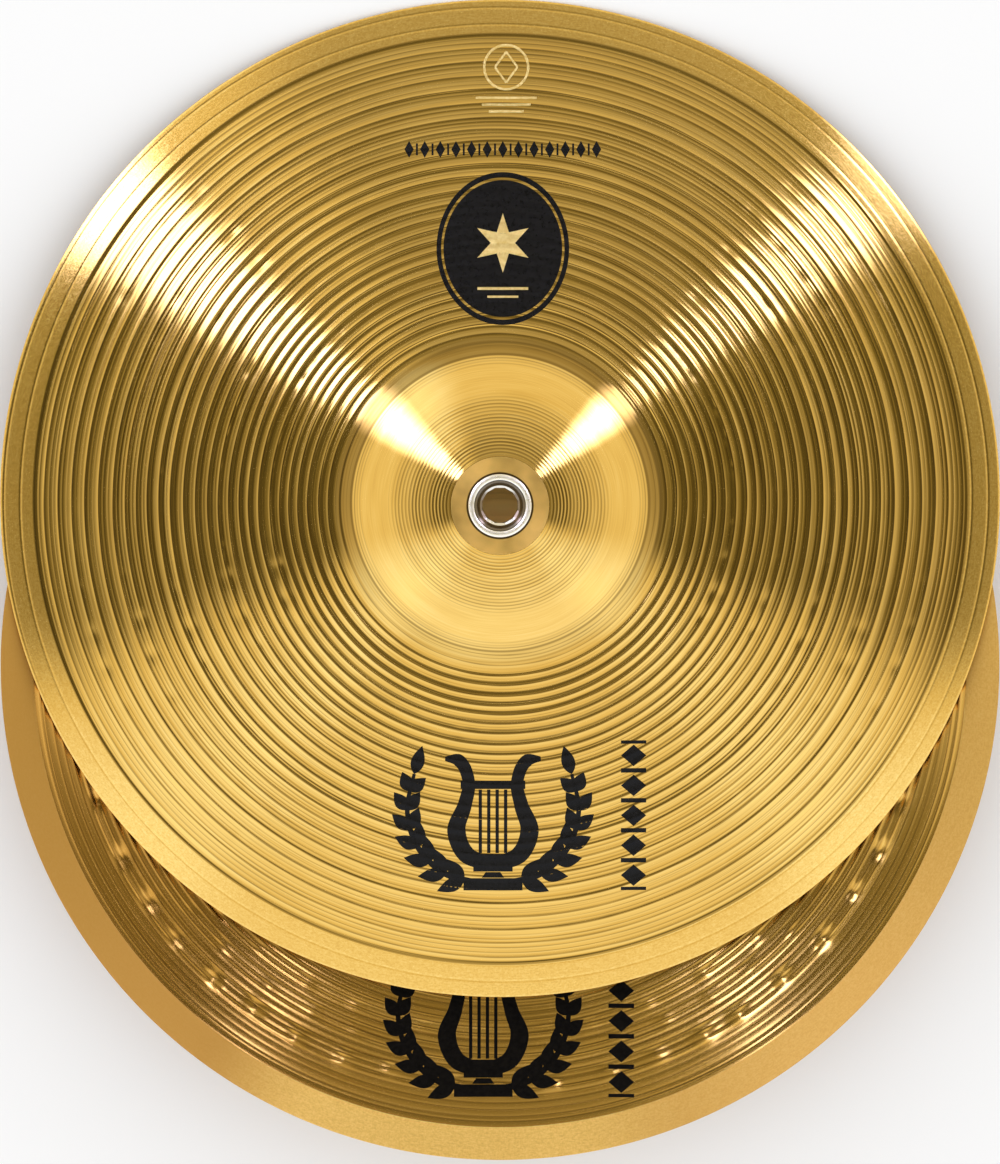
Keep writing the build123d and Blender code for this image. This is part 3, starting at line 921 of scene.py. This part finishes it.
def rule_row(x0, x1, y0, y1):
    """A row of lozenges and small upright bars."""
    grids = []
    count = 13
    step = (x1 - x0) / count
    middle, half = (y0 + y1) / 2, (y1 - y0) / 2
    for k in range(count):
        x = x0 + (k + 0.5) * step
        grids.append(lozenge(x, middle, step * 0.30, half))
        if k:
            edge = x - step / 2
            grids.append(bar(edge - 0.35, middle - half * 0.7, edge + 0.35, middle + half * 0.7))
    return grids


def badge(x, y, width, height):
    """A black oval with a bare line inside its edge."""
    return [oval(x, y, width, height, 0.93), oval(x, y, width * 0.895, height * 0.895, 0)]


def badge_gold(x, y):
    """What is printed in gold on the badge: a star over two short rules."""
    grids = star(x, y + 2.0, 10.5, 4.3, 6)
    grids += [bar(x - 9, y - 14.6, x + 9, y - 13.6), bar(x - 5.5, y - 17.4, x + 5.5, y - 16.6)]
    return grids


def stamp(x, y):
    """A small ring round a lozenge, over three short rules."""
    grids = [oval(x, y + 4.0, 8.2, 8.2, 0.90)]
    grids += [ribbon(corners, [0.7] * 2) for corners in sides_of_lozenge(x, y + 4.0, 4.0, 5.4)]
    grids += [bar(x - w, y - h, x + w, y - h + 0.8) for w, h in ((10.8, 7.2), (8.6, 9.6), (6.2, 12.0))]
    return grids


def sides_of_lozenge(x, y, half_width, half_height):
    """The four sides of a lozenge, each as its two ends."""
    corners = [(x - half_width, y), (x, y - half_height), (x + half_width, y), (x, y + half_height)]
    return [[corners[k], corners[(k + 1) % 4]] for k in range(4)]


def make_print(name, grids, face, place, ink, body, lift, turn_over=False):
    """A thin sheet of ink that follows the face's tool marks."""
    points, faces, start = [], [], 0
    for grid in grids:
        rows, columns = grid.shape[:2]
        x = grid[..., 0].ravel()
        y = grid[..., 1].ravel() * (-1 if turn_over else 1)
        radius, angle = np.hypot(x, y), np.arctan2(y, x) % tau
        near, height = face.points(radius, face.depth(radius, angle) - lift)
        points.append(np.stack([near * np.cos(angle), near * np.sin(angle), height], -1))
        row = np.arange(rows - 1)[:, None] * columns
        column = np.arange(columns - 1)[None, :]
        first = start + row + column
        corners = [first, first + columns, first + columns + 1, first + 1]
        faces.append(np.stack(corners, -1).reshape(-1, 4))
        start += rows * columns
    thing = new_object(name, np.vstack(points), np.vstack(faces), place)
    material, slot = ink
    return dress(thing, material, body)


INK_LIFT = 0.05
SECOND_INK_LIFT = 0.085

# every print is laid out in millimetres from its cymbal's axis, with +Y up the picture
upper_prints = [
    ("upper_lyre_print", lyre(-2.5, -112.0), upper_ink, INK_LIFT),
    ("upper_column_print", upright_row(47.5, -139.0, -85.0, 4.5), upper_ink, INK_LIFT),
    ("upper_row_print", rule_row(-35.0, 37.0, 122.0, 128.0), upper_ink, INK_LIFT),
    ("upper_badge_print", badge(1.0, 90.0, 23.5, 27.0), upper_ink, INK_LIFT),
    ("upper_badge_star_print", badge_gold(1.0, 90.0), gold_ink, SECOND_INK_LIFT),
    ("upper_stamp_print", stamp(2.2, 150.0), gold_ink, INK_LIFT),
]
for name, grids, ink, lift in upper_prints:
    make_print(name, grids, upper_outer, upper_place, ink, "upper_cymbal", lift)

lower_prints = [
    ("lower_lyre_print", lyre(-6.0, -128.6)),
    ("lower_column_print", upright_row(43.4, -155.6, -101.6, 4.6)),
]
for name, grids in lower_prints:
    make_print(name, grids, lower_inner, lower_place, lower_ink, "lower_cymbal", INK_LIFT, True)

# ---- floor ----
FLOOR_RADIUS = 16.0
FLOOR_CORNERS = 96
floor_mesh = bpy.data.meshes.new("floor")
floor_turns = np.linspace(0, tau, FLOOR_CORNERS + 1)[:-1]
floor_ring = [(FLOOR_RADIUS * cos(t), FLOOR_RADIUS * sin(t), 0) for t in floor_turns]
floor_mesh.from_pydata(floor_ring, [], [list(range(FLOOR_CORNERS))])
floor = bpy.data.objects.new("floor", floor_mesh)
bpy.context.scene.collection.objects.link(floor)
pale = Shader("pale_floor")
pale.surface.inputs["Base Color"].default_value = (0.93, 0.93, 0.93, 1)
pale.surface.inputs["Roughness"].default_value = 0.9
pale.surface.inputs["Specular IOR Level"].default_value = 0.0
floor_mesh.materials.append(pale.material)

# ---- camera: a long lens nearly overhead, leaning towards the upper cymbal ----
CAMERA_LEAN = radians(12.9)
LENS = 500.0
SENSOR = 36.0
FRAME_WIDTH, FRAME_HEIGHT = 1000, 1164

back = Vector((0, sin(CAMERA_LEAN), cos(CAMERA_LEAN)))
up = Vector((0, cos(CAMERA_LEAN), -sin(CAMERA_LEAN)))
right = Vector((1, 0, 0))
corners = [v.co for node in frame["nodes"].values() for v in node.data.vertices]
heights = [c.dot(up) for c in corners]
middle = (max(heights) + min(heights)) / 2
target = up * middle + back * upper_place.translation.dot(back)
view_height = 2 * RIM_RADIUS * MM * FRAME_HEIGHT / FRAME_WIDTH
camera_data = bpy.data.cameras.new("camera")
camera_data.lens = LENS
camera_data.sensor_width = SENSOR
camera_data.clip_end = 40
camera = bpy.data.objects.new("camera", camera_data)
bpy.context.scene.collection.objects.link(camera)
turned_to = Matrix((right, up, back)).transposed()
camera.matrix_world = Matrix.Translation(target + back * view_height * LENS / SENSOR) @ turned_to.to_4x4()
bpy.context.scene.camera = camera

# ---- light: a dome of soft boxes, seen only in reflections ----
# The dome's brightness is laid out by the slope and azimuth that a point of the upper cymbal must
# have to mirror that part of the dome to the camera.
DOME_RADIUS = 9.0
DOME_REACH = radians(115)
DOME_RINGS, DOME_CORNERS = 16, 48
# brightness at each slope, in degrees: where the surface leans away, aside and to the front
TOP_LEVELS = [(0, 0.14), (4, 0.31), (6, 0.40), (8.5, 0.50), (13, 0.62), (20, 0.86), (27, 1.04)]
SIDE_LEVELS = [(0, 0.08), (4, 0.12), (6, 0.18), (8.5, 0.26), (12, 0.46), (17, 0.78), (24, 1.04)]
FRONT_LEVELS = [(0, 0.12), (2, 0.50), (4.5, 0.98), (8, 1.05), (12, 1.14), (17, 1.20), (29, 1.22)]
STEEPEST = 32.0
BRIGHTEST = 1.25
FAN_STRENGTH = 5.0
FAN_COLOUR = (1.0, 1.06, 2.0, 1)
# colour at each brightness
TINTS = [
    (0.0, (1.0, 0.92, 0.52)),
    (0.25, (1.0, 0.94, 0.62)),
    (0.55, (1.0, 0.99, 0.92)),
    (1.0, (1.0, 0.97, 0.84)),
    (1.25, (1.0, 1.12, 1.45)),
]

dome_mesh = bpy.data.meshes.new("studio_dome")
dome_points = []
for k in range(DOME_RINGS + 1):
    tilt = k * DOME_REACH / DOME_RINGS
    for j in range(DOME_CORNERS):
        turn = j * tau / DOME_CORNERS
        flat = DOME_RADIUS * sin(tilt)
        dome_points.append((flat * cos(turn), flat * sin(turn), DOME_RADIUS * cos(tilt)))
dome_mesh.from_pydata(dome_points, [], ring_faces(DOME_RINGS + 1, DOME_CORNERS, False).tolist())
dome = bpy.data.objects.new("studio_dome", dome_mesh)
bpy.context.scene.collection.objects.link(dome)
dome.matrix_world = turned_to.to_4x4()

glow = Shader("studio_glow")
glow.tree.nodes.remove(glow.surface)
spot = glow.add("ShaderNodeTexCoord").outputs["Object"]
spot = glow.add("ShaderNodeVectorMath", {0: spot}, operation="NORMALIZE").outputs[0]
mirror = glow.add("ShaderNodeVectorMath", {0: spot, 1: (0, 0, 1)}, operation="ADD").outputs[0]
mirror = glow.add("ShaderNodeVectorMath", {0: mirror}, operation="NORMALIZE").outputs[0]
axes = (turned_to.transposed() @ upper_place.to_3x3()).transposed()
parts = []
for k in range(3):
    dot = {0: mirror, 1: tuple(axes[k])}
    parts.append(glow.add("ShaderNodeVectorMath", dot, operation="DOT_PRODUCT").outputs["Value"])
nx, ny, nz = parts
flat = glow.math("SQRT", glow.math("ADD", glow.math("POWER", nx, 2.0), glow.math("POWER", ny, 2.0)))
slope = glow.math("MULTIPLY", glow.math("ARCTAN2", flat, nz), 180 / pi)
azimuth = glow.math("MULTIPLY", glow.math("ARCTAN2", ny, nx), 180 / pi)
upward = glow.math("DIVIDE", ny, glow.math("MAXIMUM", flat, 0.001))


def level_of(levels):
    """Brightness from the slope, in degrees, by a table."""
    stops = [(at / STEEPEST, (level / BRIGHTEST,) * 3) for at, level in levels]
    return glow.ramp(glow.math("DIVIDE", slope, STEEPEST, clamp=True), stops)


def wedge(middle, narrow, wide, soft, start, end):
    """A soft-edged sector about an azimuth; its half width grows with the slope."""
    apart = glow.math("ABSOLUTE", glow.math("SUBTRACT", azimuth, float(middle)))
    half = glow.span(slope, start, start + 6.0, narrow, wide)
    soft = glow.span(slope, 9.0, 22.0, soft, soft + 4.0)
    inner = glow.math("MULTIPLY", soft, -1.0)
    edge = glow.span(glow.math("SUBTRACT", apart, half), inner, soft, 1.0, 0.0)
    return glow.math("MULTIPLY", edge, glow.span(slope, start, end))


side_level, top_level, front_level = map(level_of, (SIDE_LEVELS, TOP_LEVELS, FRONT_LEVELS))
level = glow.mix(glow.span(upward, 0.45, 0.80), side_level, top_level)
level = glow.mix(glow.span(upward, -0.48, -0.20, 1.0, 0.0), level, front_level)
level = glow.add("ShaderNodeSeparateColor", {0: level}).outputs[0]
shoulder = glow.math("MULTIPLY", wedge(128, 4.0, 10.0, 9.0, 6.0, 9.0), 0.35)
low_left = glow.math("MULTIPLY", wedge(-137, 6.0, 9.0, 7.0, 3.0, 6.0), 0.14)
low_right = glow.math("MULTIPLY", wedge(-43, 6.0, 9.0, 7.0, 3.0, 6.0), 0.14)
for extra in (shoulder, low_left, low_right):
    level = glow.math("ADD", level, extra)
tint = glow.ramp(level, [(at / BRIGHTEST, colour) for at, colour in TINTS])
level = glow.math("MULTIPLY", level, BRIGHTEST)
right_fan = wedge(40.5, 2.5, 5.8, 1.0, 5.6, 7.2)
left_fan = wedge(142, 2.9, 6.6, 1.4, 5.4, 7.0)
at_band = glow.math("MULTIPLY", glow.span(slope, 8.6, 9.3), glow.span(slope, 11.2, 12.8, 1.0, 0.0))
off_band = glow.math("SUBTRACT", 1.0, glow.math("MULTIPLY", at_band, 0.99))
right_fan = glow.math("MULTIPLY", right_fan, off_band)
fans = glow.math("MULTIPLY", glow.math("ADD", right_fan, left_fan), FAN_STRENGTH)
shine = glow.add("ShaderNodeEmission", {"Color": tint, "Strength": level})
bright = glow.add("ShaderNodeEmission", {"Color": FAN_COLOUR, "Strength": fans})
both = glow.add("ShaderNodeAddShader", {0: shine.outputs[0], 1: bright.outputs[0]})
output = next(n for n in glow.tree.nodes if n.type == "OUTPUT_MATERIAL")
glow.feed(output.inputs["Surface"], both.outputs[0])
glow.material.cycles.emission_sampling = "NONE"
dome_mesh.materials.append(glow.material)
dome.visible_camera = False
dome.visible_diffuse = False
dome.visible_shadow = False
dome.visible_transmission = False

# ---- a weak light between the plates, seen through the strap hole, and the white surroundings ----
FILL_RADIUS = 0.016
FILL_LEVEL = 0.42
FILL_COLOUR = (0.60, 0.66, 0.80)
FILL_PLACE = Vector((0, -0.024, 0.014))
SURROUND_LEVEL = 1.06
fill_data = bpy.data.lights.new("cavity_fill", "POINT")
fill_data.shadow_soft_size = FILL_RADIUS
fill_data.energy = FILL_LEVEL * (2 * pi * FILL_RADIUS) ** 2
fill_data.color = FILL_COLOUR
fill = bpy.data.objects.new("cavity_fill", fill_data)
bpy.context.scene.collection.objects.link(fill)
fill.location = upper_place.translation + FILL_PLACE
fill.visible_camera = False

world = bpy.data.worlds.new("studio")
bpy.context.scene.world = world
world.use_nodes = True
world.node_tree.nodes["Background"].inputs[0].default_value = (1, 1, 1, 1)
world.node_tree.nodes["Background"].inputs[1].default_value = SURROUND_LEVEL
world.cycles_visibility.glossy = False
bpy.context.scene.view_settings.view_transform = "Standard"
